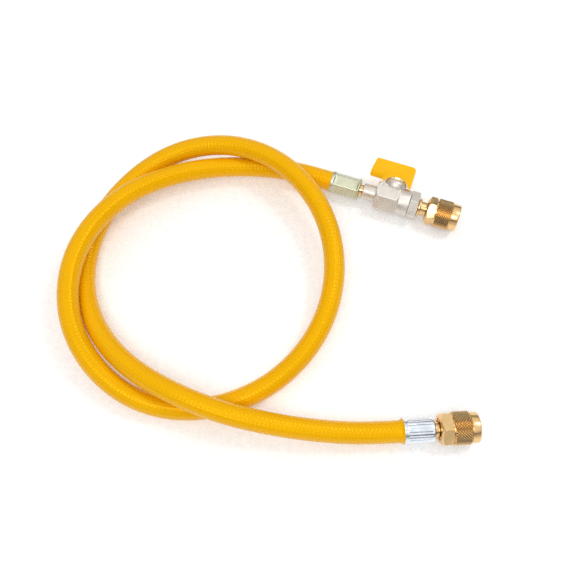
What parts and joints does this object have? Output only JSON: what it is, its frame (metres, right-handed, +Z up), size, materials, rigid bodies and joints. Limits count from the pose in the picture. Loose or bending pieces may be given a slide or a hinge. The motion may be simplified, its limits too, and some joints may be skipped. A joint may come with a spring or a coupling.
{
  "type": "refrigerant charging hose",
  "caption": "Flexible yellow charging hose in a loose overhand loop, with crimped ferrules, knurled swivel nuts and a quarter-turn ball valve with a blade handle at one end.",
  "frame": {"origin": "on the floor, under the middle of the box round all the pieces but the hose itself", "axes": "+Z up; +Y from the free end's fitting to the valve end's, the longer way across the fittings; both nuts point roughly along +X and the hose's loop lies to -X"},
  "size_m": [0.226, 0.1791, 0.0275],
  "materials": {
    "hose_rubber": "semi-gloss yellow hose cover with a fine grain",
    "zinc_ferrule": "satin zinc plate, slightly warm",
    "bright_ferrule": "bright bluish zinc plate with lengthwise crimp marks",
    "nickel_plate": "satin nickel plate on forged brass",
    "brass": "turned bright brass, knurled grip",
    "yellow_plastic": "smooth moulded yellow plastic",
    "gasket_rubber": "matt black rubber",
    "white_seat": "plain white seat rings"
  },
  "bodies": {
    "hose_and_fittings": {"hose": "hose_rubber", "ferrule_valve_end": "zinc_ferrule", "hose_tail_valve_end": "brass", "valve_body": "nickel_plate", "valve_seat_hose_side": "white_seat", "valve_seat_nut_side": "white_seat", "valve_end_cap": "nickel_plate", "swivel_stem_valve_end": "brass", "gasket_valve_end": "gasket_rubber", "core_depressor": "brass", "ferrule_free_end": "bright_ferrule", "hose_tail_free_end": "brass", "gasket_free_end": "gasket_rubber"},
    "valve_handle": {"handle": "yellow_plastic", "valve_stem": "brass", "valve_ball": "nickel_plate"},
    "valve_end_nut": {"swivel_nut_valve_end": "brass"},
    "free_end_nut": {"swivel_nut_free_end": "brass"}
  },
  "joints": [
    {"name": "handle_turn", "type": "hinge", "parent": "hose_and_fittings", "child": "valve_handle", "pos_m": [-0.00164, 0.06025, 0.0084], "axis": [0.2805, 0.8193, 0.5], "range_deg": [0, 90]},
    {"name": "valve_nut_spin", "type": "hinge", "parent": "hose_and_fittings", "child": "valve_end_nut", "pos_m": [0.02684, 0.0505, 0.0084], "axis": [0.9461, -0.3239, 0], "continuous": true},
    {"name": "free_nut_spin", "type": "hinge", "parent": "hose_and_fittings", "child": "free_end_nut", "pos_m": [0.02481, -0.07391, 0.00874], "axis": [0.9984, 0.0558, 0], "continuous": true}
  ]
}
